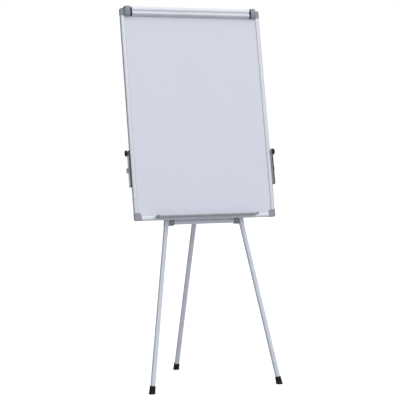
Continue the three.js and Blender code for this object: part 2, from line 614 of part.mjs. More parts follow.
// inner face of the right leg at height v, less the gap
function legInnerX(v) {
  const axisX = LEG_FOOT_X - legDistance(v) * Math.sin(LEG_SPLAY);
  return axisX - UPPER_TUBE / 2 / Math.cos(LEG_SPLAY) - GAP;
}
const CONNECTOR_FRONT_N = -27;
const CONNECTOR_BACK_N = -51.5;
const CONNECTOR_PLUG = 18;
const connectorIn = CROSSBAR_HALF + GAP;
const connectorBody = extrudeN([
  [connectorIn, CONNECTOR_BOTTOM_V + 3], [connectorIn + 3, CONNECTOR_BOTTOM_V],
  [legInnerX(CONNECTOR_BOTTOM_V), CONNECTOR_BOTTOM_V], [legInnerX(CONNECTOR_TOP_V), CONNECTOR_TOP_V],
  [connectorIn + 3, CONNECTOR_TOP_V], [connectorIn, CONNECTOR_TOP_V - 3],
], CONNECTOR_BACK_N, CONNECTOR_FRONT_N);
const plugHeight = CROSSBAR_HEIGHT / 2 - TUBE_WALL - GAP;
const plugDepth = CROSSBAR_DEPTH / 2 - TUBE_WALL - GAP;
const connectorPlug = extrudeX(
  roundedRectangle(2 * plugHeight, 2 * plugDepth, 1.5, 2).map(([a, b]) => [CROSSBAR_V + a, LEG_PLANE_N + b]),
  CROSSBAR_HALF - CONNECTOR_PLUG, CROSSBAR_HALF + 4);
const jawIn = connectorIn + 6;
const jawReach = UPPER_TUBE - 2;
const backJaw = extrudeN([
  [jawIn, CONNECTOR_BOTTOM_V + 2], [legInnerX(CONNECTOR_BOTTOM_V) + jawReach, CONNECTOR_BOTTOM_V + 2],
  [legInnerX(CONNECTOR_TOP_V) + jawReach, CONNECTOR_TOP_V], [jawIn, CONNECTOR_TOP_V],
], CONNECTOR_BACK_N, LEG_PLANE_N - UPPER_TUBE / 2 - GAP);
const LOCK_STUD = 2.5;
const lockStudHole = rod('n', LOCK_STUD + GAP, CONNECTOR_BACK_N - 1, CONNECTOR_BACK_N + 14)
  .translate(LEG_LOCK_X, CROSSBAR_V, 0);
const CONNECTOR_RIVET = 2;
const rivetProfile = [
  [0, -4], [CONNECTOR_RIVET, -4], [CONNECTOR_RIVET, GAP], [4.4, GAP], [4.2, 1.2], [2.6, 2.2], [0, 2.6],
];
const rivetHole = rod('n', CONNECTOR_RIVET + GAP, -4 - GAP, 1);
const placeRivet = (geometry) => geometry.translate(LEG_LOCK_X, RIVET_V, CONNECTOR_FRONT_N);
addPair('leg_connector',
  cut(join(connectorBody, connectorPlug, backJaw), lockStudHole, placeRivet(rivetHole)),
  boardFrame, 'darkPlastic');
addPair('connector_rivet', placeRivet(turned(rivetProfile, 'n', 14)), boardFrame, 'steel');

// Thumb knob: a stud and a head, drawn along its own axis with the head's face at distance 0.
const KNOB_HEIGHT = 15;
const KNOB_EDGE = 2;
const KNOB_SKIRT = 4.5;
const KNOB_NECK = 4;
function thumbKnob(headRadius, studLength) {
  return turned([
    [0, -KNOB_HEIGHT], [headRadius - KNOB_EDGE, -KNOB_HEIGHT], [headRadius, KNOB_EDGE - KNOB_HEIGHT],
    [headRadius, -KNOB_SKIRT], [headRadius - 1.5, 1.5 - KNOB_SKIRT], [headRadius - KNOB_NECK, -2],
    [headRadius - KNOB_NECK, 0], [LOCK_STUD, 0], [LOCK_STUD, studLength], [0, studLength],
  ], 'n', 16);
}
const LEG_KNOB_RADIUS = 9;
const LEG_STUD_LENGTH = 13;
addPair('leg_lock_knob',
  thumbKnob(LEG_KNOB_RADIUS, LEG_STUD_LENGTH).translate(LEG_LOCK_X, CROSSBAR_V, CONNECTOR_BACK_N - GAP),
  boardFrame, 'blackPlastic');

// ---------------------------------------------------------------- hinge bar and rear leg hinge
// room for the right leg's upper tube, in board coordinates
const LEG_ROOM = UPPER_TUBE + 2 * GAP;
const legToBoard = boardFrame.clone().invert().multiply(rightLeg);
const LEG_SLEEVE_LENGTH = 400;
const legSleeve = new THREE.BoxGeometry(LEG_ROOM, LEG_SLEEVE_LENGTH, LEG_ROOM)
  .translate(0, legDistance(HINGE_BAR_V), 0).applyMatrix4(legToBoard);
const hingeBarHalf = legInnerX(HINGE_BAR_V) + 8;
addPiece('hinge_bar',
  cut(flatTube(HINGE_BAR_V, HINGE_BAR_HEIGHT, hingeBarHalf), legSleeve, mirrored(legSleeve)),
  boardFrame, 'paint');

const EAR_INNER = UPPER_TUBE / 2 + GAP;
const EAR_THICKNESS = 3;
const PIN_RADIUS = 3;
const yokeFrontN = LEG_PLANE_N - CROSSBAR_DEPTH / 2 - GAP;
const earOutline = [
  [HINGE_BAR_V + 14, yokeFrontN - 3], [HINGE_BAR_V - 20, yokeFrontN - 3],
  ...arc(REAR_PIVOT_V, REAR_PIVOT_N, 8.5, 180, 350, 8),
];
const earHole = [circle(REAR_PIVOT_V, REAR_PIVOT_N, PIN_RADIUS + GAP, 12)];
const earRight = extrudeX(earOutline, EAR_INNER, EAR_INNER + EAR_THICKNESS, earHole);
const earLeft = extrudeX(earOutline, -EAR_INNER - EAR_THICKNESS, -EAR_INNER, earHole);
const yokeWeb = block(
  -EAR_INNER - EAR_THICKNESS - 8, EAR_INNER + EAR_THICKNESS + 8, HINGE_BAR_V - 20, HINGE_BAR_V + 14,
  yokeFrontN - 3.5, yokeFrontN);
addPiece('rear_yoke', join(yokeWeb, earRight, earLeft), boardFrame, 'steel');

const pinEnd = EAR_INNER + EAR_THICKNESS + GAP;
const pinProfile = [
  [0, -pinEnd - 2.5], [4.6, -pinEnd - 2.5], [5, -pinEnd - 1.8], [5, -pinEnd], [PIN_RADIUS, -pinEnd],
  [PIN_RADIUS, pinEnd], [5, pinEnd], [5, pinEnd + 1.8], [4.6, pinEnd + 2.5], [0, pinEnd + 2.5],
];
addPiece('rear_pin',
  turned(pinProfile, 'x', 14).translate(0, REAR_PIVOT_V, REAR_PIVOT_N), boardFrame, 'steel');

// ---------------------------------------------------------------- rear leg
// The same leg coordinates, from the rear foot up to the pivot.
const sleeveBottomY = REAR_LENGTH - REAR_SLEEVE_BELOW;
const sleeve = squareTube(UPPER_TUBE, TUBE_WALL, sleeveBottomY, REAR_LENGTH + REAR_SLEEVE_ABOVE);
const sleevePinHole = rod('x', PIN_RADIUS + GAP, -UPPER_TUBE, UPPER_TUBE).translate(0, REAR_LENGTH, 0);
const rearLockY = REAR_LENGTH - REAR_LOCK_BELOW;
const rearStudHole = rod('n', LOCK_STUD + GAP, -UPPER_TUBE, 0).translate(0, rearLockY, 0);
addPiece('rear_sleeve', cut(sleeve, sleevePinHole, rearStudHole), rearFrame, 'paint');
addPiece('rear_tube',
  squareTube(LOWER_TUBE, TUBE_WALL, FOOT_SOLE + GAP, REAR_LENGTH - REAR_TUBE_BELOW), rearFrame, 'paint');
const REAR_KNOB_RADIUS = 11;
addPiece('rear_lock_knob',
  thumbKnob(REAR_KNOB_RADIUS, TUBE_WALL).translate(0, rearLockY, -UPPER_TUBE / 2 - GAP),
  rearFrame, 'blackPlastic');
addPiece('foot_rear', foot(rearFrame), new THREE.Matrix4(), 'rubber');

// ---------------------------------------------------------------- top hub and board brackets
const hubBody = extrudeN([
  [-HUB_HALF, HUB_BOTTOM_V + 5], [-HUB_HALF + 5, HUB_BOTTOM_V], [HUB_HALF - 5, HUB_BOTTOM_V],
  [HUB_HALF, HUB_BOTTOM_V + 5], [HUB_HALF - 6, HUB_TOP_V - 6], [HUB_HALF - 14, HUB_TOP_V],
  [14 - HUB_HALF, HUB_TOP_V], [6 - HUB_HALF, HUB_TOP_V - 6],
], HUB_BACK_N, HUB_FRONT_N);
const HUB_SOCKET_LENGTH = 200;
const hubSocket = new THREE.BoxGeometry(LEG_ROOM, HUB_SOCKET_LENGTH, LEG_ROOM)
  .translate(0, upperTo + GAP - HUB_SOCKET_LENGTH / 2, 0).applyMatrix4(legToBoard);
const hubWindow = extrudeN([
  [-11, HUB_BOTTOM_V + 12], [11, HUB_BOTTOM_V + 12], [8, HUB_TOP_V - 16], [-8, HUB_TOP_V - 16],
], HUB_BACK_N - 1, HUB_BACK_N + 16);
addPiece('top_hub', cut(hubBody, hubSocket, mirrored(hubSocket), hubWindow), boardFrame, 'darkPlastic');

// bent plates: from the hub's front to the top rail, and from the crossbar's top to the bottom rail
const PLATE = 2;
const hangerBack = HUB_FRONT_N + GAP;
const railBack = -RAIL_DEPTH - GAP;
addPiece('hanger_plate', extrudeX([
  [HUB_BOTTOM_V + 6, hangerBack], [HUB_BOTTOM_V + 6, hangerBack + PLATE], [976, hangerBack + PLATE],
  [976, railBack], [997, railBack], [997, railBack - PLATE], [978, railBack - PLATE], [978, hangerBack],
].reverse(), -28, 28), boardFrame, 'steel');

const crossbarTop = CROSSBAR_V + CROSSBAR_HEIGHT / 2 + GAP;
addPiece('lower_bracket', extrudeX([
  [crossbarTop, LEG_PLANE_N - 6], [crossbarTop, railBack - PLATE], [4, railBack - PLATE], [4, railBack],
  [crossbarTop + PLATE + 4, railBack], [crossbarTop + PLATE + 4, railBack - PLATE],
  [crossbarTop + PLATE, railBack - PLATE - 1], [crossbarTop + PLATE, LEG_PLANE_N - 6],
], -60, 60), boardFrame, 'steel');

export default easel;
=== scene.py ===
import json
import math

import bmesh
import bpy
from mathutils import Matrix, Vector


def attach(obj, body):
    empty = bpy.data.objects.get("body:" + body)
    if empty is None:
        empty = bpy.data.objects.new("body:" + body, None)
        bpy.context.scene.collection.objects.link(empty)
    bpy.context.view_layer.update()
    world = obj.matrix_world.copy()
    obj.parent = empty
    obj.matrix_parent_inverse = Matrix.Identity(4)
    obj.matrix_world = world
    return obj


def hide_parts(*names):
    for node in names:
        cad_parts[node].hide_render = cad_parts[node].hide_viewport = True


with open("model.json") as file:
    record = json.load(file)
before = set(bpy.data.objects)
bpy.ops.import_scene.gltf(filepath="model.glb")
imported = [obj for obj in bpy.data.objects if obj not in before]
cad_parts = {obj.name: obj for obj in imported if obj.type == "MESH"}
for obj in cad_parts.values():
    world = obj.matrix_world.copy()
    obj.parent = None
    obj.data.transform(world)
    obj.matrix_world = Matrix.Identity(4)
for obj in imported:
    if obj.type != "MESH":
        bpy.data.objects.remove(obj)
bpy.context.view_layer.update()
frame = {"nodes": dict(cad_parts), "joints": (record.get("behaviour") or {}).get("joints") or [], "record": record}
record = frame["record"]
nodes = frame["nodes"]
slot_of = {s["node"]: s["material_slot"] for s in record["subparts"]}
body_of = {n: b for b, members in record["behaviour"]["bodies"].items() for n in members}
joints = {j["name"]: j for j in frame["joints"]}
MM = 0.001
SIDES = ("right", "left")
ACROSS = Vector((1, 0, 0))


# ------------------------------------------------------------------ frames the pieces are drawn in
# Board frame: x across, y up the board's face, z out of its front. The legs' lock knobs turn about
# an axis square to the board that points backwards.
board_normal = -Vector(joints["leg_right_knob_turn"]["axis"]).normalized()
board_up = board_normal.cross(ACROSS).normalized()


def tilt(x_axis, y_axis):
    """The turn that takes the world's x and y to these two."""
    return Matrix((x_axis, y_axis, x_axis.cross(y_axis))).transposed().to_4x4()


def local_box(node, matrix):
    """(lowest, highest) corner of a CAD node in a tilted frame, in metres."""
    inverse = matrix.inverted()
    points = [inverse @ v.co for v in nodes[node].data.vertices]
    low = Vector([min(p[i] for p in points) for i in range(3)])
    high = Vector([max(p[i] for p in points) for i in range(3)])
    return low, high


def leg_frame(slide_joint, tube):
    """y up the leg, z out of its front, origin where the leg's middle line meets the floor."""
    up = Vector(joints[slide_joint]["axis"]).normalized()
    front = ACROSS.cross(up).normalized()
    tilted = tilt(up.cross(front), up)
    low, high = local_box(tube, tilted)
    on_axis = tilted @ Vector(((low.x + high.x) / 2, 0, (low.z + high.z) / 2))
    return Matrix.Translation(on_axis - up * (on_axis.z / up.z)) @ tilted


# The board frame's origin is in the middle of the board's bottom edge, level with the rails' faces.
BOARD_TILT = tilt(ACROSS, board_up)
board_bottom = local_box("corner_bottom_right", BOARD_TILT)[0].y
rail_face = local_box("rail_right", BOARD_TILT)[1].z
BOARD = Matrix.Translation(BOARD_TILT @ Vector((0, board_bottom, rail_face))) @ BOARD_TILT
LEG_RIGHT = leg_frame("leg_right_slide", "lower_leg_right")
LEG_LEFT = leg_frame("leg_left_slide", "lower_leg_left")
LEG_REAR = leg_frame("rear_leg_slide", "rear_tube")


# ------------------------------------------------------------------ camera
CAMERA_PLACE = (-2.298, -6.0775, 1.205)
CAMERA_YAW = 20.94      # degrees to the right of +Y
CAMERA_PITCH = -3.07    # degrees above the horizon
CAMERA_ROLL = -0.36     # degrees
CAMERA_LENS = 123.3     # millimetres
CAMERA_SENSOR = 36.0    # millimetres across
CAMERA_RANGE = (0.05, 60.0)     # nearest and farthest seen, in metres


def make_camera():
    data = bpy.data.cameras.new("camera")
    data.sensor_width = CAMERA_SENSOR
    data.lens = CAMERA_LENS
    data.clip_start, data.clip_end = CAMERA_RANGE
    camera = bpy.data.objects.new("camera", data)
    turn = (
        Matrix.Rotation(math.radians(-CAMERA_YAW), 4, "Z")
        @ Matrix.Rotation(math.radians(90 + CAMERA_PITCH), 4, "X")
        @ Matrix.Rotation(math.radians(CAMERA_ROLL), 4, "Z")
    )
    camera.matrix_world = Matrix.Translation(CAMERA_PLACE) @ turn
    bpy.context.scene.collection.objects.link(camera)
    bpy.context.scene.camera = camera


make_camera()


# ------------------------------------------------------------------ node graphs
NOISE_SPREAD = (0.3, 0.7)       # most of a noise lies in this range
EDGE_LEAN = (0.995, 0.86)       # cosine of the lean where an edge starts, and where it is full
EDGE_SAMPLES = 6
MIX_FIRST, MIX_SECOND, MIX_RESULT = 6, 7, 2     # a Mix node's colour sockets share names with others


class Graph:
    """A short way to write a material's nodes. Coordinates are the piece's own, in metres."""

    def __init__(self, name, colour, roughness, metallic=0.0):
        self.material = bpy.data.materials.new(name)
        self.material.use_nodes = True
        self.tree = self.material.node_tree
        self.shader = self.tree.nodes["Principled BSDF"]
        self.shader.inputs["Base Color"].default_value = (*colour, 1)
        self.shader.inputs["Roughness"].default_value = roughness
        self.shader.inputs["Metallic"].default_value = metallic
        self.place = self.tree.nodes.new("ShaderNodeTexCoord").outputs["Object"]

    def link(self, source, target):
        """Joins an output to a socket, or gives the socket a constant."""
        if isinstance(source, bpy.types.NodeSocket):
            self.tree.links.new(source, target)
        else:
            target.default_value = source

    def stretched(self, scale):
        """The piece's coordinates times a scale along each axis."""
        node = self.tree.nodes.new("ShaderNodeVectorMath")
        node.operation = "MULTIPLY"
        self.link(self.place, node.inputs[0])
        node.inputs[1].default_value = scale
        return node.outputs[0]

    def noise(self, scale, detail, roughness, stretch=None, distortion=0.0):
        node = self.tree.nodes.new("ShaderNodeTexNoise")
        self.link(self.stretched(stretch) if stretch else self.place, node.inputs["Vector"])
        node.inputs["Scale"].default_value = scale
        node.inputs["Detail"].default_value = detail
        node.inputs["Roughness"].default_value = roughness
        node.inputs["Distortion"].default_value = distortion
        return node.outputs["Fac"]

    def cells(self, scale):
        node = self.tree.nodes.new("ShaderNodeTexVoronoi")
        self.link(self.place, node.inputs["Vector"])
        node.inputs["Scale"].default_value = scale
        return node

    def flakes(self, scale, channel):
        """A random tone for each cell."""
        split = self.tree.nodes.new("ShaderNodeSeparateColor")
        self.link(self.cells(scale).outputs["Color"], split.inputs[0])
        return split.outputs[channel]

    def span(self, value, from_low, from_high, to_low, to_high):
        node = self.tree.nodes.new("ShaderNodeMapRange")
        self.link(value, node.inputs["Value"])
        numbers = {"From Min": from_low, "From Max": from_high, "To Min": to_low, "To Max": to_high}
        for key, number in numbers.items():
            node.inputs[key].default_value = number
        return node.outputs["Result"]

    def spread(self, noise, to_low, to_high):
        """A noise's usual range taken to another one."""
        return self.span(noise, *NOISE_SPREAD, to_low, to_high)

    def maths(self, operation, first, second):
        node = self.tree.nodes.new("ShaderNodeMath")
        node.operation = operation
        self.link(first, node.inputs[0])
        self.link(second, node.inputs[1])
        return node.outputs[0]

    def plus(self, first, second):
        return self.maths("ADD", first, second)

    def minus(self, first, second):
        return self.maths("SUBTRACT", first, second)

    def times(self, first, second):
        return self.maths("MULTIPLY", first, second)

    def mixed(self, factor, first, second):
        """Two colours, or sockets that carry one, mixed by a factor."""
        node = self.tree.nodes.new("ShaderNodeMix")
        node.data_type = "RGBA"
        self.link(factor, node.inputs["Factor"])
        for colour, socket in ((first, MIX_FIRST), (second, MIX_SECOND)):
            self.link((*colour, 1) if isinstance(colour, tuple) else colour, node.inputs[socket])
        return node.outputs[MIX_RESULT]

    def edge(self, width):
        """1 on edges and 0 on flat faces, from how far a rounded normal leans."""
        bevel = self.tree.nodes.new("ShaderNodeBevel")
        bevel.samples = EDGE_SAMPLES
        bevel.inputs["Radius"].default_value = width
        geometry = self.tree.nodes.new("ShaderNodeNewGeometry")
        dot = self.tree.nodes.new("ShaderNodeVectorMath")
        dot.operation = "DOT_PRODUCT"
        self.link(bevel.outputs[0], dot.inputs[0])
        self.link(geometry.outputs["Normal"], dot.inputs[1])
        return self.span(dot.outputs["Value"], *EDGE_LEAN, 0.0, 1.0)

    def rubbed_edge(self, width, patch_scale, patches, strengths):
        """Edges that are rubbed more in some patches than in others."""
        patch = self.span(self.noise(patch_scale, 4, 0.7), *patches, *strengths)
        return self.times(self.edge(width), patch)

    def height(self):
        """Height above the floor, in metres."""
        geometry = self.tree.nodes.new("ShaderNodeNewGeometry")
        split = self.tree.nodes.new("ShaderNodeSeparateXYZ")
        self.link(geometry.outputs["Position"], split.inputs[0])
        return split.outputs["Z"]

    def colour(self, value):
        self.link(value, self.shader.inputs["Base Color"])

    def roughness(self, value):
        self.link(value, self.shader.inputs["Roughness"])

    def bump(self, value, strength, distance, below=None):
        """Relief from a value, on top of another relief if there is one."""
        node = self.tree.nodes.new("ShaderNodeBump")
        node.inputs["Strength"].default_value = strength
        node.inputs["Distance"].default_value = distance
        self.link(value, node.inputs["Height"])
        if below is not None:
            self.link(below, node.inputs["Normal"])
        self.link(node.outputs[0], self.shader.inputs["Normal"])
        return node.outputs[0]


def linear(red, green, blue):
    """Scene colour from an 8-bit display colour, by the sRGB curve."""
    def channel(value):
        part = value / 255
        return part / 12.92 if part <= 0.04045 else ((part + 0.055) / 1.055) ** 2.4
    return tuple(channel(c) for c in (red, green, blue))


def scaled(colour, factor):
    return tuple(min(1.0, c * factor) for c in colour)


def drawn_aluminium(name, colour, stretch, roughness=0.4, metallic=0.75):
    """Satin anodised extrusion: die lines along it, faint cloudiness, unevenly rubbed edges."""
    g = Graph(name, colour, roughness, metallic)
    lines = g.noise(1.0, 4, 0.65, stretch=stretch)
    fine = g.noise(1.0, 2, 0.5, stretch=tuple(3.1 * s for s in stretch))
    cloud = g.noise(9, 3, 0.55)
    tone = g.plus(g.spread(lines, 0.0, 0.6), g.spread(cloud, 0.0, 0.4))
    body = g.mixed(tone, scaled(colour, 0.91), scaled(colour, 1.05))
    rubbed = g.rubbed_edge(0.0007, 70, (0.35, 0.65), (0.15, 0.75))
    g.colour(g.mixed(rubbed, body, scaled(colour, 1.2)))
    satin = g.plus(g.span(lines, 0.25, 0.75, roughness - 0.07, roughness + 0.07),
                   g.spread(cloud, -0.03, 0.04))
    g.roughness(g.minus(satin, g.times(rubbed, 0.12)))
    g.bump(fine, 0.22, 0.00004, g.bump(lines, 0.25, 0.00008))
    return g.material


def powder_coat(name, colour):
    """Silver-grey powder coat: orange peel, metallic fleck, rubbed edges, scuffs near the floor."""
    g = Graph(name, colour, 0.42, 0.2)
    peel = g.noise(1400, 2, 0.5)
    sparkle = g.span(g.flakes(5200, 0), 0.86, 1.0, 0.0, 0.5)
    cloud = g.noise(14, 4, 0.6)
    body = g.mixed(g.spread(cloud, 0, 1), scaled(colour, 0.95), scaled(colour, 1.04))
    body = g.mixed(sparkle, body, scaled(colour, 1.35))
    scuffs = g.times(g.span(g.noise(60, 5, 0.75, stretch=(1, 0.25, 1)), 0.62, 0.72, 0, 1),
                     g.span(g.height(), 0.04, 0.2, 0.55, 0.0))
    rubbed = g.rubbed_edge(0.0008, 80, (0.36, 0.64), (0.1, 0.8))
    body = g.mixed(rubbed, body, scaled(colour, 1.22))
    g.colour(g.mixed(scuffs, body, scaled(colour, 0.62)))
    g.roughness(g.plus(g.spread(cloud, 0.37, 0.47), g.times(scuffs, 0.2)))
    g.bump(peel, 0.18, 0.00012)
    return g.material


def lacquer(name, colour):
    """Dry-wipe lacquer on steel: even gloss, a faint ghost of wiped marker, arcs left by the cloth, and painted
    shade darkening its edges.
    """
    g = Graph(name, colour, 0.28)
    g.shader.inputs["Coat Weight"].default_value = 0.25
    g.shader.inputs["Coat Roughness"].default_value = 0.2
    ghost = g.spread(g.noise(2.6, 3, 0.5), 0, 1)
    arcs = g.span(g.noise(9.0, 2, 0.45, stretch=(1.0, 0.3, 1.0), distortion=0.5), 0.35, 0.7, 0, 1)
    haze = g.plus(g.times(ghost, 0.65), g.times(arcs, 0.35))
    worn = g.mixed(haze, scaled(colour, 1.003), scaled(colour, 0.989))
    # Painted shade: the sheet's edges go up to 30% of the way towards a 10% darker colour, for the dark seam along
    # the rails' inner edges.
    g.colour(g.mixed(g.times(g.edge(0.0008), 0.3), worn, scaled(colour, 0.9)))
    g.roughness(g.span(haze, 0, 1, 0.27, 0.3))
    g.bump(g.noise(900, 1, 0.4), 0.03, 0.00002)
    return g.material


def moulded(name, colour, roughness, grain=0.5, edge_light=1.5):
    """Injection-moulded plastic: spark-eroded grain, flow clouds, mottle and paler rubbed edges."""
    g = Graph(name, colour, roughness)
    fine = g.noise(2600, 2, 0.6)
    pits = g.cells(1500).outputs["Distance"]
    cloud = g.noise(22, 3, 0.55)
    mottle = g.noise(420, 3, 0.6)
    tone = g.plus(g.spread(cloud, 0, 0.65), g.spread(mottle, 0, 0.35))
    body = g.mixed(tone, scaled(colour, 0.9), scaled(colour, 1.09))
    rubbed = g.rubbed_edge(0.0009, 190, (0.34, 0.62), (0.12, 0.8))
    g.colour(g.mixed(rubbed, body, scaled(colour, edge_light)))
    matt = g.plus(g.spread(cloud, roughness - 0.06, roughness + 0.05), g.spread(fine, -0.04, 0.05))
    g.roughness(g.minus(matt, g.times(rubbed, 0.1)))
    g.bump(fine, 0.3 * grain, 0.00008, g.bump(pits, 0.2 * grain, 0.0001))
    return g.material


def drawn_plastic(name, colour, stretch):
    """Extruded plastic: die lines along its length, cloudy tone and rubbed edges."""
    g = Graph(name, colour, 0.42)
    lines = g.noise(1.0, 4, 0.65, stretch=stretch)
    cloud = g.noise(16, 4, 0.6)
    tone = g.plus(g.spread(lines, 0, 0.5), g.spread(cloud, 0, 0.5))
    body = g.mixed(tone, scaled(colour, 0.93), scaled(colour, 1.05))
    g.colour(g.mixed(g.times(g.edge(0.0006), 0.4), body, scaled(colour, 1.25)))
    g.roughness(g.plus(g.spread(lines, 0.37, 0.46), g.spread(cloud, -0.03, 0.04)))
    g.bump(g.noise(2400, 2, 0.6), 0.12, 0.00006, g.bump(lines, 0.2, 0.00006))
    return g.material


def rubber(name, colour):
    """Moulded rubber: dull, finely stippled, with pale dust towards the floor."""
    g = Graph(name, colour, 0.78)
    g.shader.inputs["Specular IOR Level"].default_value = 0.3
    stipple = g.noise(1900, 3, 0.6)
    cloud = g.noise(55, 4, 0.6)
    dust = g.times(g.span(cloud, 0.38, 0.68, 0, 1), g.span(g.height(), 0.0, 0.014, 0.5, 0.06))
    body = g.mixed(g.spread(stipple, 0, 1), scaled(colour, 0.85), scaled(colour, 1.2))
    g.colour(g.mixed(dust, body, linear(92, 91, 88)))
    g.roughness(g.spread(cloud, 0.7, 0.86))
    g.bump(stipple, 0.35, 0.00012)
    return g.material


def zinc(name, colour):
    """Bright zinc plate: a soft unevenness, a cloudy, slightly warm tint and polished edges."""
    g = Graph(name, colour, 0.3, 0.85)
    uneven = g.noise(60, 4, 0.6)
    cloud = g.noise(40, 4, 0.6)
    tint = (colour[0] * 1.03, colour[1] * 1.02, colour[2] * 0.97)
    body = g.mixed(g.span(cloud, 0.35, 0.7, 0, 1), scaled(colour, 0.9), tint)
    g.colour(g.mixed(g.times(g.edge(0.0005), 0.4), body, scaled(colour, 1.2)))
    g.roughness(g.plus(g.spread(uneven, 0.24, 0.36), g.spread(cloud, -0.03, 0.05)))
    g.bump(uneven, 0.2, 0.00005)
    return g.material


def galvanised(name, colour):
    """Galvanised backing sheet: spangle in flat flakes, and a very slight waviness in its gloss."""
    g = Graph(name, colour, 0.42, 0.7)
    tone = g.plus(g.times(g.flakes(70, 0), 0.7), g.times(g.flakes(260, 1), 0.3))
    g.colour(g.mixed(tone, scaled(colour, 0.86), scaled(colour, 1.1)))
    g.roughness(g.span(tone, 0, 1, 0.34, 0.52))
    g.bump(g.noise(2.2, 2, 0.5), 0.4, 0.004, g.bump(tone, 0.1, 0.00005))
    return g.material


def honeycomb_board(name, colour):
    """Raw core board: fibrous brown card."""
    g = Graph(name, colour, 0.9)
    fibre = g.noise(1.0, 5, 0.7, stretch=(90, 700, 700))
    g.colour(g.mixed(g.spread(fibre, 0, 1), scaled(colour, 0.78), scaled(colour, 1.12)))
    g.roughness(g.spread(fibre, 0.82, 0.95))
    g.bump(fibre, 0.5, 0.0003)
    return g.material


ALUMINIUM = linear(212, 215, 222)
ALONG_X = (6, 900, 900)     # die lines: long one way, fine across
ALONG_Y = (900, 6, 900)

# The looks by the record's slot, or by the piece where one slot has several looks: grain directions, and aluminium
# copies painted darker or lighter for shade and light.
looks = {
    "aluminium_x": drawn_aluminium("aluminium_x", ALUMINIUM, ALONG_X),
    # Painted shade: the rails along y take the same aluminium 6% darker, though all four rails are one extrusion.
    "aluminium_y": drawn_aluminium("aluminium_y", scaled(ALUMINIUM, 0.94), ALONG_Y),
    # Partly the arms' own paler, less metallic finish, partly painted light: lightened to offset the shade in the
    # gap beside the rails.
    "aluminium_arm_lightened": drawn_aluminium("aluminium_arm_lightened", linear(238, 240, 243), ALONG_Y, 0.5, 0.12),
    "paint": powder_coat("paint", linear(206, 212, 222)),
    "steel": zinc("steel", linear(188, 191, 194)),
    "board": lacquer("board", linear(218, 221, 233)),
    "core": honeycomb_board("core", linear(176, 152, 118)),
    "backing": galvanised("backing", linear(176, 180, 184)),
    "grey_plastic": moulded("grey_plastic", linear(150, 150, 158), 0.46),
    "grey_plastic_x": drawn_plastic("grey_plastic_x", linear(172, 170, 178), ALONG_X),
    "clamp_plastic": moulded("clamp_plastic", linear(141, 147, 160), 0.42),
    "dark_plastic": moulded("dark_plastic", linear(128, 134, 146), 0.42),
    "black_plastic": moulded("black_plastic", linear(20, 20, 22), 0.42, grain=0.6, edge_light=2.0),
    "rubber": rubber("rubber", linear(13, 15, 14)),
}


# ------------------------------------------------------------------ building pieces
# Angles in degrees. Edges sharper than these stay crisp when a shape is shaded smooth.
CAD_SHARP = 32.0
EXTRUSION_SHARP = 28.0
KNOB_SHARP = 30.0
RUBBER_SHARP = 36.0
WIRE_SHARP = 50.0
FLAT_WITHIN = 0.5
MERGE_WITHIN = 0.00001      # metres
WIDE_EDGE = 0.001           # metres; an edge this wide is rounded in more steps


def add_piece(node, suffix, mesh, matrix, look):
    """A finished mesh, drawn in the frame given, that stands for a CAD node and rides on its body."""
    piece = bpy.data.objects.new(f"{node}_{suffix}", mesh)
    piece.matrix_world = matrix
    bpy.context.scene.collection.objects.link(piece)
    mesh.materials.clear()
    mesh.materials.append(looks[look])
    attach(piece, body_of[node])
    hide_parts(node)
    return piece


def soften(piece, width):
    """Rounded edges with clean shading. A width of 0 leaves the edges as they are."""
    bevel = piece.modifiers.new("edges", "BEVEL")
    bevel.width = width
    bevel.segments = 4 if width >= WIDE_EDGE else 2
    bevel.limit_method = "ANGLE"
    bevel.angle_limit = math.radians(CAD_SHARP)
    bevel.harden_normals = True
    bevel.use_clamp_overlap = True
    bevel.miter_outer = "MITER_ARC"


def shade(bm, sharp):
    """Smooth faces, with the edges between them crisp where they turn by more than that angle."""
    for face in bm.faces:
        face.smooth = True
    for edge in bm.edges:
        edge.smooth = len(edge.link_faces) != 2 or edge.calc_face_angle(0) <= math.radians(sharp)


def mesh_of(name, bm):
    mesh = bpy.data.meshes.new(name)
    bm.to_mesh(mesh)
    bm.free()
    return mesh


def cad_mesh(node, matrix):
    """The CAD node's own shape in a tilted frame, with its flat faces whole again."""
    bm = bmesh.new()
    bm.from_mesh(nodes[node].data)
    bm.transform(matrix.inverted())
    bmesh.ops.remove_doubles(bm, verts=bm.verts, dist=MERGE_WITHIN)
    bmesh.ops.dissolve_limit(
        bm, angle_limit=math.radians(FLAT_WITHIN), verts=bm.verts, edges=bm.edges,
        use_dissolve_boundaries=False)
    shade(bm, CAD_SHARP)
    return mesh_of(node, bm)


def refine(node, matrix, look, width):
    """The CAD shape again, with rounded edges and a worked-up material."""
    soften(add_piece(node, "shell", cad_mesh(node, matrix), matrix, look), width)


def mesh_from(name, bm, sharp):
    """A mesh from newly made faces, all turned outwards."""
    bmesh.ops.recalc_face_normals(bm, faces=bm.faces)
    shade(bm, sharp)
    return mesh_of(name, bm)


def bridge(bm, below, above):
    """Faces between two rings that have the same number of points."""
    for i in range(len(below)):
        j = (i + 1) % len(below)
        bm.faces.new((below[i], below[j], above[j], above[i]))


def lofted(rings):
    """A solid through rings of points, with the first and last ring filled."""
    bm = bmesh.new()
    loops = [[bm.verts.new(p) for p in ring] for ring in rings]
    for below, above in zip(loops, loops[1:]):
        bridge(bm, below, above)
    bm.faces.new(loops[0])
    bm.faces.new(loops[-1])
    return bm


def bar(name, section, start, end, along):
    """A bar of one section, in millimetres: (x, front) for a bar along y, (y, front) for one along x."""
    rings = []
    for t in (start, end):
        if along == "y":
            rings.append([Vector((a, t, n)) * MM for a, n in section])
        else:
            rings.append([Vector((t, a, n)) * MM for a, n in section])
    return mesh_from(name, lofted(rings), EXTRUSION_SHARP)


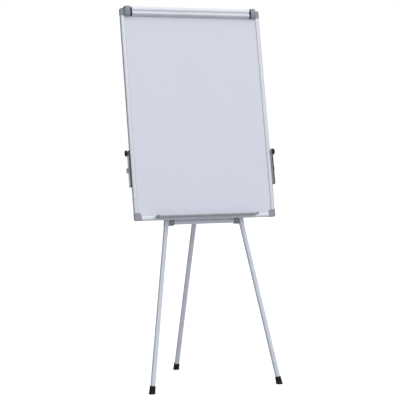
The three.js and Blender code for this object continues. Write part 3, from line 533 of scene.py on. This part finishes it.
def arc_points(centre_a, centre_b, radius, start, end, steps):
    turns = [math.radians(start + (end - start) * i / steps) for i in range(steps + 1)]
    return [(centre_a + radius * math.cos(t), centre_b + radius * math.sin(t)) for t in turns]


def millimetres(node, matrix):
    """(lowest, highest) corner of a CAD node in a tilted frame, in millimetres."""
    low, high = local_box(node, matrix)
    return low / MM, high / MM


def look_for(node, along):
    # The arm channels take the lightened aluminium, partly painted light against the shade beside the rails.
    if node.startswith("arm_channel"):
        return "aluminium_arm_lightened"
    if node.startswith("clamp_end"):
        return "clamp_plastic"
    return f"aluminium_{along}" if slot_of[node] == "aluminium" else slot_of[node]


# ------------------------------------------------------------------ frame rails
# Pairs of (distance in from the outer edge, height of the face), in millimetres: grooved outer side,
# crowned face with two fine lines, rounded lip over the board, slot for the board's edge, back.
RAIL_SECTION = [
    (0.0, -16.0), (0.0, -13.6), (0.9, -13.0), (0.9, -6.6), (0.0, -6.0), (0.0, -2.4), (0.2, -1.7),
    (0.6, -1.15), (1.3, -0.75), (2.4, -0.42), (3.9, -0.24), (4.15, -0.75), (4.75, -0.75), (5.0, -0.17),
    (7.0, -0.06), (10.0, 0.0), (12.5, -0.06), (14.9, -0.2), (15.15, -0.8), (15.75, -0.8), (16.0, -0.27),
    (17.4, -0.42), (18.6, -0.8), (19.4, -1.35), (19.85, -2.0), (20.0, -2.7), (10.0, -2.7), (10.0, -15.4),
    (14.0, -15.4), (14.0, -18.0), (1.8, -18.0), (0.6, -17.5), (0.15, -16.8),
]
LOWEST, HIGHEST = 0, 1      # which of a node's two corners


def rail(place, along, outer_corner, inwards):
    """One rail, with its outer edge at the lowest or highest corner of the CAD's."""
    node = f"rail_{place}"
    corners = millimetres(node, BOARD)
    width_axis, length_axis = (0, 1) if along == "y" else (1, 0)
    outer_edge = corners[outer_corner][width_axis]
    start, end = (corner[length_axis] for corner in corners)
    section = [(outer_edge + inwards * a, n) for a, n in RAIL_SECTION]
    add_piece(node, "extrusion", bar(node, section, start, end, along), BOARD, f"aluminium_{along}")


rail("right", "y", HIGHEST, -1)
rail("left", "y", LOWEST, 1)
rail("top", "x", HIGHEST, -1)
rail("bottom", "x", LOWEST, 1)


# ------------------------------------------------------------------ paper clamp cover
ROD_BORE = 2.8          # radius
BORE_STEPS = 24
HOOK_ARC = (306, 4)     # degrees about the rod: from under it, round behind it and over to its front
HOOK_STEPS = 26


def cover_section(low, high, pivot_v, pivot_n):
    """The cover's outline as (up the board, out from it), drawn from its front and its lower lip."""
    front, lip, barrel = high.z, low.y, high.y - pivot_v
    pivot = pivot_v - lip
    # (distance back from the front, height above the lip)
    outer = [
        (0.0, pivot - 3.8), (0.0, 26.4), (0.2, 25.7), (0.9, 25.3), (3.2, 25.1), (3.8, 24.6),
        (3.8, 20.4), (3.2, 19.2), (1.2, 17.7), (0.3, 16.8), (0.0, 15.8), (0.0, 12.8), (0.15, 10.6),
        (0.7, 8.0), (1.7, 5.6), (3.2, 3.4), (5.2, 1.6), (7.6, 0.5), (10.6, 0.1),
        (front, 0.0), (front + 2.0, 0.3), (front + 2.4, 0.8),
    ]
    inner = [
        (front + 2.4, 2.0), (front, 1.9), (10.4, 2.0), (7.9, 2.5), (6.0, 3.4), (4.4, 4.8), (3.0, 6.8),
        (2.1, 9.0), (1.7, 11.0), (1.6, 13.0), (1.7, 15.8), (2.6, 17.0), (4.7, 18.6), (5.2, 19.8),
        (5.2, 25.4), (4.8, 26.1), (2.2, 26.4), (1.6, 27.0), (1.6, pivot - 3.3),
    ]
    hook = arc_points(pivot_n, pivot_v, barrel, *HOOK_ARC, HOOK_STEPS)
    return [(lip + up, front - back) for back, up in outer + inner] + [(v, n) for n, v in hook]


def make_cover():
    low, high = millimetres("clamp_cover", BOARD)
    rod_low, rod_high = millimetres("clamp_rod", BOARD)
    pivot_v, pivot_n = (rod_low.y + rod_high.y) / 2, (rod_low.z + rod_high.z) / 2
    section = cover_section(low, high, pivot_v, pivot_n)
    bore_arc = arc_points(pivot_n, pivot_v, ROD_BORE, 0, 360 - 360 / BORE_STEPS, BORE_STEPS - 1)
    bore = [(v, n) for n, v in bore_arc]
    bm = bmesh.new()
    ends = []
    for t in (low.x, high.x):
        loops = [[bm.verts.new(Vector((t, v, n)) * MM) for v, n in line] for line in (section, bore)]
        edges = [bm.edges.new((a, b)) for loop in loops for a, b in zip(loop, loop[1:] + loop[:1])]
        bmesh.ops.triangle_fill(bm, edges=edges, use_dissolve=False)
        ends.append(loops)
    for first, second in zip(*ends):
        bridge(bm, first, second)
    mesh = mesh_from("clamp_cover", bm, EXTRUSION_SHARP)
    add_piece("clamp_cover", "extrusion", mesh, BOARD, "aluminium_x")


make_cover()


# ------------------------------------------------------------------ pen tray
TRAY_RIDGES = (9.0, 18.0, 27.0)     # distances out from the board's face


def make_tray():
    low, high = millimetres("pen_tray", BOARD)
    top, front = high.y - low.y, high.z
    # (height above the tray's underside, distance out from the board's face)
    section = [
        (top, 0.3), (top - 0.2, 1.4), (top - 0.5, 1.8), (4.4, 1.8), (2.7, 2.5), (1.8, 4.0), (1.5, 5.4),
    ]
    for ridge in TRAY_RIDGES:
        section += [(1.5, ridge), (2.1, ridge + 0.6), (2.1, ridge + 1.4), (1.5, ridge + 2.0)]
    section += [
        (1.5, front - 5.4), (1.9, front - 3.6), (2.9, front - 2.2), (4.2, front - 1.6),
        (5.9, front - 1.9), (6.6, front - 1.7), (6.8, front - 1.0), (6.6, front - 0.3),
        (5.9, front), (4.4, front), (4.1, front - 0.4), (3.6, front - 0.4),
        (3.3, front), (2.2, front - 0.2), (0.9, front - 1.2), (0.2, front - 2.6),
        (0.0, front - 4.0), (0.0, 2.0), (0.3, 0.9), (1.0, 0.3),
    ]
    mesh = bar("pen_tray", [(low.y + up, out) for up, out in section], low.x, high.x, "x")
    add_piece("pen_tray", "extrusion", mesh, BOARD, "grey_plastic_x")


make_tray()


# ------------------------------------------------------------------ knobs
FLUTES = 24
ARM_KNOB_STEPS = 8 * FLUTES
THUMB_KNOB_STEPS = 6 * FLUTES
ARM_KNOB_BORE, ARM_KNOB_BORE_DEPTH = 3.3, 8.3
THUMB_STUD = 2.5        # radius


def turned(name, profile, steps, place):
    """A solid of revolution. The profile is (radius, distance, flute depth) in millimetres, from one
    end of the axis to the other; place takes (distance, sideways, upwards) to a point."""
    rings = []
    for radius, distance, depth in profile:
        ring = []
        for i in range(steps):
            angle = 2 * math.pi * i / steps
            r = radius - depth * 0.5 * (1 - math.cos(FLUTES * angle))
            ring.append(place(distance, r * math.cos(angle), r * math.sin(angle)) * MM)
        rings.append(ring)
    return mesh_from(name, lofted(rings), KNOB_SHARP)


def arm_knob(side):
    """A fluted knob on the end of the arm's bolt, bored from the arm's side."""
    node = f"arm_knob_{side}"
    low, high = millimetres(node, BOARD)
    centre_y, centre_z = (low.y + high.y) / 2, (low.z + high.z) / 2
    inner, outwards = (low.x, 1.0) if side == "right" else (high.x, -1.0)
    rim = (high.y - low.y) / 2
    profile = [
        (ARM_KNOB_BORE, ARM_KNOB_BORE_DEPTH, 0), (ARM_KNOB_BORE, 0.0, 0), (5.8, 0.0, 0), (6.4, 0.4, 0),
        (6.6, 2.4, 0), (7.4, 3.5, 0), (9.6, 4.4, 0.1), (12.2, 5.0, 0.4), (rim - 0.9, 5.6, 0.8),
        (rim - 0.2, 6.4, 1.1), (rim, 7.2, 1.2), (rim, 8.6, 1.2), (rim - 0.4, 9.6, 1.0),
        (rim - 1.4, 10.7, 0.6), (rim - 3.2, 11.6, 0.25), (rim - 5.2, 12.2, 0.1), (rim - 6.2, 12.35, 0),
        (rim - 6.8, 12.1, 0), (rim - 7.4, 12.35, 0), (4.6, 12.65, 0), (2.4, 12.78, 0), (0.4, 12.8, 0),
    ]

    def place(distance, sideways, upwards):
        return Vector((inner + outwards * distance, centre_y + sideways, centre_z + upwards))

    add_piece(node, "knurled", turned(node, profile, ARM_KNOB_STEPS, place), BOARD, "black_plastic")


def thumb_knob(node, matrix):
    """A fluted knob whose stud points along the frame's z axis."""
    low, high = millimetres(node, matrix)
    centre_x, centre_y = (low.x + high.x) / 2, (low.y + high.y) / 2
    rim, length = (high.x - low.x) / 2, high.z - low.z
    neck = rim - 4.0
    profile = [
        (0.4, 0.5, 0), (rim - 5.2, 0.5, 0), (rim - 4.7, 0.1, 0), (rim - 3.8, 0.0, 0),
        (rim - 2.4, 0.15, 0.3), (rim - 1.2, 0.8, 0.7), (rim - 0.4, 1.7, 1.0), (rim, 3.0, 1.1),
        (rim, 9.6, 1.1), (rim - 0.5, 10.8, 0.9), (rim - 1.6, 11.8, 0.5), (rim - 3.2, 12.6, 0.1),
        (neck, 13.2, 0), (neck, 15.0, 0), (THUMB_STUD, 15.0, 0), (THUMB_STUD, length - 0.5, 0),
        (THUMB_STUD - 0.5, length, 0), (0.3, length, 0),
    ]

    def place(distance, sideways, upwards):
        return Vector((centre_x + sideways, centre_y + upwards, low.z + distance))

    add_piece(node, "fluted", turned(node, profile, THUMB_KNOB_STEPS, place), matrix, "black_plastic")


for side in SIDES:
    arm_knob(side)
    thumb_knob(f"leg_lock_knob_{side}", BOARD)
thumb_knob("rear_lock_knob", LEG_REAR)


# ------------------------------------------------------------------ rubber feet
FOOT_TOP, FOOT_BOTTOM = 22.8, 26.6      # widths across the flats
FOOT_FLARE_FROM = 8.0                   # how far below the floor the taper would reach FOOT_BOTTOM
FOOT_ROUNDING = 0.2                     # corner radius as a part of the width
FOOT_GROOVES = (9.0, 13.0, 17.0)        # heights
POCKET, POCKET_FLOOR, POCKET_ROUNDING = 19.1, 8.0, 2.0
CORNER_STEPS = 6


def rounded_square(size, radius):
    half = size / 2 - radius
    points = []
    for cx, cz, start in ((half, half, 0), (-half, half, 90), (-half, -half, 180), (half, -half, 270)):
        points += arc_points(cx, cz, radius, start, start + 90, CORNER_STEPS)
    return points


def foot(node, matrix):
    """A grooved, flared foot, cut at its sole to stand flat on the floor under a leaning leg."""
    tall = millimetres(node, matrix)[1].y
    to_world = matrix.to_3x3()

    def floor_height(x, z):
        """How far up the leg's axis the floor is, at that place in the leg's section."""
        return -(to_world @ Vector((x, 0, z))).z / (to_world @ Vector((0, 1, 0))).z

    # (height, inset)
    outside = [(0.0, 3.0), (0.25, 1.5), (0.8, 0.8), (1.7, 0.25), (3.0, 0.0), (7.0, 0.0)]
    for groove in FOOT_GROOVES:
        outside += [(groove, 0.0), (groove + 0.4, 0.55), (groove + 1.0, 0.55), (groove + 1.4, 0.0)]
    outside += [(tall - 5.2, 0.0), (tall - 4.8, -0.35), (tall - 1.2, -0.35), (tall - 0.4, 0.0), (tall, 0.8)]
    rings = []
    for height, inset in outside:
        level = max(0.0, 1 - 2 * height / tall)
        taper = (height + FOOT_FLARE_FROM) / (tall + FOOT_FLARE_FROM)
        size = FOOT_BOTTOM + (FOOT_TOP - FOOT_BOTTOM) * taper - 2 * inset
        ring = rounded_square(size, size * FOOT_ROUNDING)
        rings.append([Vector((x, height + floor_height(x, z) * level, z)) * MM for x, z in ring])
    for height in (tall, POCKET_FLOOR):
        rings.append([Vector((x, height, z)) * MM for x, z in rounded_square(POCKET, POCKET_ROUNDING)])
    add_piece(node, "rubber", mesh_from(node, lofted(rings), RUBBER_SHARP), matrix, "rubber")


foot("foot_right", LEG_RIGHT)
foot("foot_left", LEG_LEFT)
foot("foot_rear", LEG_REAR)

# ------------------------------------------------------------------ clamp springs
SPRING_TURNS = 6
SPRING_STEPS = 26       # to a turn
SPRING_WIRE = 0.45      # radius
WIRE_STEPS = 10


def spring(side):
    node = f"clamp_spring_{side}"
    low, high = millimetres(node, BOARD)
    centre_y, centre_z = (low.y + high.y) / 2, (low.z + high.z) / 2
    radius = (high.y - low.y) / 2 - SPRING_WIRE
    start, end = low.x + SPRING_WIRE, high.x - SPRING_WIRE
    steps = SPRING_TURNS * SPRING_STEPS
    rings = []
    for i in range(steps + 1):
        angle = 2 * math.pi * SPRING_TURNS * i / steps
        out = Vector((0, math.cos(angle), math.sin(angle)))
        middle = Vector((start + (end - start) * i / steps, centre_y, centre_z)) + out * radius
        ring = []
        for k in range(WIRE_STEPS):
            turn = 2 * math.pi * k / WIRE_STEPS
            ring.append((middle + (out * math.cos(turn) + ACROSS * math.sin(turn)) * SPRING_WIRE) * MM)
        rings.append(ring)
    add_piece(node, "coil", mesh_from(node, lofted(rings), WIRE_SHARP), BOARD, "steel")


for side in SIDES:
    spring(side)

# ------------------------------------------------------------------ the rest, from the CAD shapes
# (node, frame, direction of its grain, width of its rounded edges in metres)
REFINED = [
    ("board_core", BOARD, "x", 0.0), ("board_backing", BOARD, "x", 0.0), ("board_sheet", BOARD, "x", 0.0),
    ("clamp_base", BOARD, "x", 0.0), ("clamp_rod", BOARD, "x", 0.0003), ("crossbar", BOARD, "x", 0.0003),
    ("hinge_bar", BOARD, "x", 0.0003), ("rear_yoke", BOARD, "x", 0.0004),
    ("rear_pin", BOARD, "x", 0.0003), ("top_hub", BOARD, "x", 0.0012),
    ("hanger_plate", BOARD, "x", 0.0004), ("lower_bracket", BOARD, "x", 0.0004),
    ("rear_sleeve", LEG_REAR, "y", 0.0003), ("rear_tube", LEG_REAR, "y", 0.0003),
]
for side, leg in zip(SIDES, (LEG_RIGHT, LEG_LEFT)):
    REFINED += [
        (f"corner_bottom_{side}", BOARD, "x", 0.0008), (f"corner_top_{side}", BOARD, "x", 0.0008),
        (f"clamp_end_{side}", BOARD, "x", 0.0018), (f"cover_plug_{side}", BOARD, "x", 0.0006),
        (f"pad_peg_{side}", BOARD, "x", 0.0004), (f"tray_cap_{side}", BOARD, "x", 0.0006),
        (f"arm_channel_{side}", BOARD, "y", 0.0002), (f"arm_strip_{side}", BOARD, "y", 0.0003),
        (f"arm_tip_{side}", BOARD, "y", 0.0005), (f"arm_peg_{side}", BOARD, "y", 0.001),
        (f"arm_bolt_{side}", BOARD, "x", 0.0003),
        (f"upper_leg_{side}", leg, "y", 0.0003), (f"lower_leg_{side}", leg, "y", 0.0003),
        (f"leg_connector_{side}", BOARD, "x", 0.001), (f"connector_rivet_{side}", BOARD, "x", 0.0003),
    ]
for node, matrix, along, width in REFINED:
    refine(node, matrix, look_for(node, along), width)


# ------------------------------------------------------------------ floor, backdrop and light
FLOOR_HALF = 14.0
FLOOR_SEEN = (0.92, 0.92, 0.92, 1)      # the paper that the eye sees
FLOOR_BOUNCE = (0.6, 0.6, 0.61, 1)      # the paper that throws light back on the object
FLOOR_GLOW = 0.42                       # seen by the eye only
FLOOR_ROUGHNESS = 0.9

BACKDROP_COLOUR = (1.0, 1.0, 1.0, 1)
ROOM_COLOUR = (0.97, 0.985, 1.0, 1)
ROOM_TOWARDS = (0.42, -0.78, 0.46)      # where the room is brightest
ROOM_LEAN = (-0.8, 0.8)                 # cosines over which it goes from dim to bright
ROOM_STRENGTH = (0.14, 0.74)

KEY_TOWARDS = (0.3, -0.45, 0.84)
KEY_STRENGTH = 1.3
KEY_SPREAD = 80                         # degrees


def make_floor():
    """A pale floor that the eye sees as white paper, and that throws rather less light back."""
    mesh = bpy.data.meshes.new("floor")
    corners = [(-1, -1), (1, -1), (1, 1), (-1, 1)]
    mesh.from_pydata([(x * FLOOR_HALF, y * FLOOR_HALF, 0) for x, y in corners], [], [(0, 1, 2, 3)])
    floor = bpy.data.objects.new("floor", mesh)
    bpy.context.scene.collection.objects.link(floor)
    material = bpy.data.materials.new("floor")
    material.use_nodes = True
    tree = material.node_tree
    shader = tree.nodes["Principled BSDF"]
    shader.inputs["Roughness"].default_value = FLOOR_ROUGHNESS
    shader.inputs["Specular IOR Level"].default_value = 0.0
    shader.inputs["Emission Color"].default_value = (1, 1, 1, 1)
    ray = tree.nodes.new("ShaderNodeLightPath")
    paper = tree.nodes.new("ShaderNodeMix")
    paper.data_type = "RGBA"
    paper.inputs[MIX_FIRST].default_value = FLOOR_BOUNCE
    paper.inputs[MIX_SECOND].default_value = FLOOR_SEEN
    glow = tree.nodes.new("ShaderNodeMath")
    glow.operation = "MULTIPLY"
    glow.inputs[1].default_value = FLOOR_GLOW
    for target in (paper.inputs["Factor"], glow.inputs[0]):
        tree.links.new(ray.outputs["Is Camera Ray"], target)
    tree.links.new(paper.outputs[MIX_RESULT], shader.inputs["Base Color"])
    tree.links.new(glow.outputs[0], shader.inputs["Emission Strength"])
    mesh.materials.append(material)


def make_key_light():
    """One wide, soft light from above, in front and to the right."""
    data = bpy.data.lights.new("key", "SUN")
    data.energy = KEY_STRENGTH
    data.angle = math.radians(KEY_SPREAD)
    lamp = bpy.data.objects.new("key", data)
    lamp.rotation_mode = "QUATERNION"
    lamp.rotation_quaternion = Vector(KEY_TOWARDS).to_track_quat("Z", "Y")
    bpy.context.scene.collection.objects.link(lamp)


def make_world():
    """White to the eye, and a softer room for the light: dimmer low down, behind and to the left."""
    world = bpy.data.worlds.new("studio")
    world.use_nodes = True
    tree = world.node_tree
    seen = tree.nodes["Background"]
    seen.inputs["Color"].default_value = BACKDROP_COLOUR
    seen.inputs["Strength"].default_value = 1.0
    room = tree.nodes.new("ShaderNodeBackground")
    room.inputs["Color"].default_value = ROOM_COLOUR
    place = tree.nodes.new("ShaderNodeTexCoord")
    dot = tree.nodes.new("ShaderNodeVectorMath")
    dot.operation = "DOT_PRODUCT"
    dot.inputs[1].default_value = Vector(ROOM_TOWARDS).normalized()
    span = tree.nodes.new("ShaderNodeMapRange")
    span.interpolation_type = "SMOOTHSTEP"
    for key, number in zip(("From Min", "From Max", "To Min", "To Max"), ROOM_LEAN + ROOM_STRENGTH):
        span.inputs[key].default_value = number
    tree.links.new(place.outputs["Generated"], dot.inputs[0])
    tree.links.new(dot.outputs["Value"], span.inputs["Value"])
    tree.links.new(span.outputs["Result"], room.inputs["Strength"])
    ray = tree.nodes.new("ShaderNodeLightPath")
    mix = tree.nodes.new("ShaderNodeMixShader")
    tree.links.new(ray.outputs["Is Camera Ray"], mix.inputs[0])
    tree.links.new(room.outputs[0], mix.inputs[1])
    tree.links.new(seen.outputs[0], mix.inputs[2])
    tree.links.new(mix.outputs[0], tree.nodes["World Output"].inputs[0])
    bpy.context.scene.world = world
    bpy.context.scene.view_settings.view_transform = "Standard"


make_floor()
make_world()
make_key_light()
